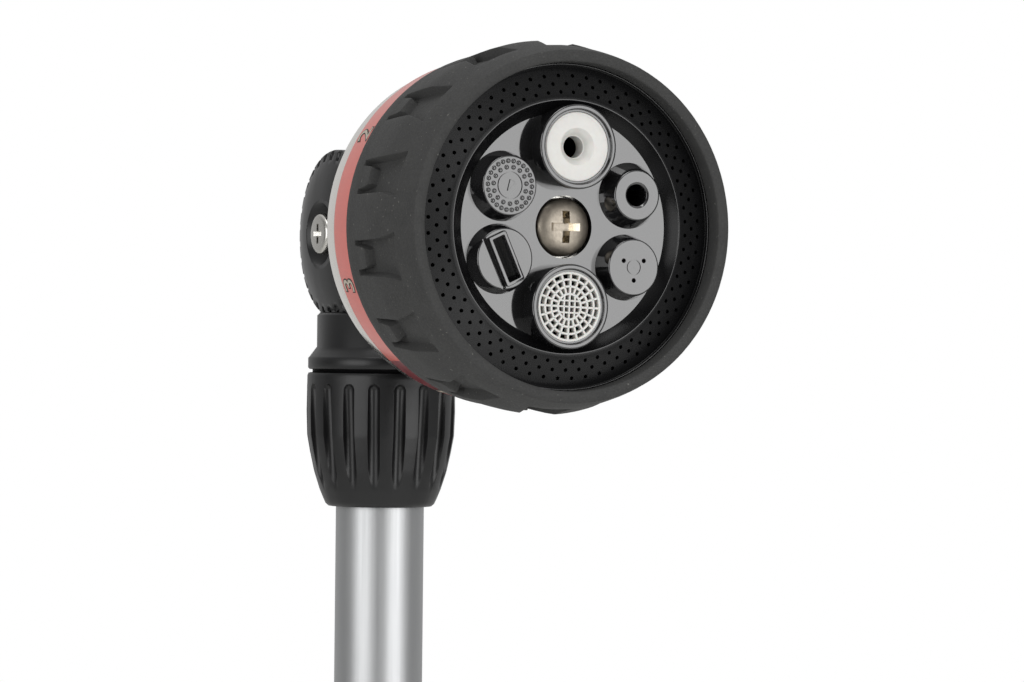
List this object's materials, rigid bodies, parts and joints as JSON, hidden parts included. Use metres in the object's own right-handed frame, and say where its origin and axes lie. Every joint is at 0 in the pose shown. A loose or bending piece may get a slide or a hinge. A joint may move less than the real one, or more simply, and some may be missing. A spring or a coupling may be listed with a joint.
{
  "type": "watering wand",
  "caption": "Telescopic garden watering wand with a tilting spray head, rubber-ringed pattern dial, twist lock and thumb valve handle.",
  "frame": {"origin": "centre of the end face of the hose nose, at the foot of the handle", "axes": "+Z along the tube towards the head; the head faces -Y at rest and tilts about X"},
  "size_m": [0.086, 0.1317, 0.9729],
  "materials": {
    "nose_plastic": "moulded glass-filled nylon, fine matt",
    "handle_plastic": "moulded ABS, fine matt",
    "gloss_plastic": "moulded ABS, polished",
    "face_gloss": "moulded ABS, mirror polished",
    "grip_rubber": "moulded TPR, fine matt",
    "seal_rubber": "moulded nitrile",
    "tube_aluminium": "drawn, satin anodised",
    "bright_ring": "vacuum plated ABS",
    "label_film": "printed film, gloss",
    "pale_plastic": "moulded acetal, satin",
    "natural_acetal": "moulded acetal, natural",
    "nickel_screw": "nickel plated, grainy",
    "stainless": "stainless steel",
    "brass_insert": "turned brass"
  },
  "bodies": {
    "handle": {"hose_nipple": "nose_plastic", "nipple_o_ring": "seal_rubber", "hose_washer": "seal_rubber", "inlet_filter": "stainless", "handle_core": "handle_plastic", "grip_sleeve": "grip_rubber", "valve_seats": "natural_acetal", "valve_retainer": "handle_plastic", "stem_o_rings": "seal_rubber", "tube_seal": "seal_rubber", "tube_collar": "gloss_plastic", "outer_tube": "tube_aluminium", "top_bush": "natural_acetal", "lock_ferrule": "natural_acetal"},
    "valve_lever": {"flow_ball": "brass_insert", "valve_stems": "natural_acetal", "flow_lever": "gloss_plastic", "lever_pad": "grip_rubber", "lever_screws": "stainless"},
    "lock_ring": {"lock_collet": "natural_acetal", "lock_collar": "handle_plastic"},
    "inner_slide": {"inner_tube": "tube_aluminium", "slide_piston": "natural_acetal", "slide_o_rings": "seal_rubber", "neck": "gloss_plastic", "neck_o_ring": "seal_rubber"},
    "head": {"tilt_screw": "stainless", "tilt_washer": "seal_rubber", "tilt_insert": "brass_insert", "tilt_o_ring": "seal_rubber", "friction_ring": "natural_acetal", "head_housing": "gloss_plastic", "trim_ring": "bright_ring", "valve_plate": "handle_plastic", "plate_o_ring": "seal_rubber", "plate_screws": "stainless", "outlet_seal": "seal_rubber", "outlet_spring": "stainless", "detent_ball": "stainless", "detent_spring": "stainless", "dial_washer": "stainless", "dial_screw": "nickel_screw"},
    "dial": {"dial_shell": "gloss_plastic", "port_plate": "handle_plastic", "label_band": "label_film", "grip_ring": "grip_rubber", "shower_ring": "gloss_plastic", "face_plate": "face_gloss", "soft_cup": "gloss_plastic", "soft_insert": "pale_plastic", "jet_nozzle": "gloss_plastic", "cone_nozzle": "gloss_plastic", "soaker_cup": "gloss_plastic", "soaker_grille": "pale_plastic", "flat_nozzle": "gloss_plastic", "mist_nozzle": "gloss_plastic"}
  },
  "joints": [
    {"name": "flow_lever_turn", "type": "hinge", "parent": "handle", "child": "valve_lever", "pos_m": [0, 0, 0.174], "axis": [1, 0, 0], "range_deg": [0, 90]},
    {"name": "lock_twist", "type": "hinge", "parent": "handle", "child": "lock_ring", "pos_m": [0, 0, 0.88], "axis": [0, 0, 1], "range_deg": [0, 90]},
    {"name": "telescope", "type": "slide", "parent": "handle", "child": "inner_slide", "axis": [0, 0, 1], "range_m": [0, 0.56]},
    {"name": "head_tilt", "type": "hinge", "parent": "inner_slide", "child": "head", "pos_m": [0, 0, 0.93], "axis": [-1, 0, 0], "range_deg": [-25, 90]},
    {"name": "dial_turn", "type": "hinge", "parent": "head", "child": "dial", "pos_m": [0, 0, 0.93], "axis": [0, -1, 0], "continuous": true}
  ]
}
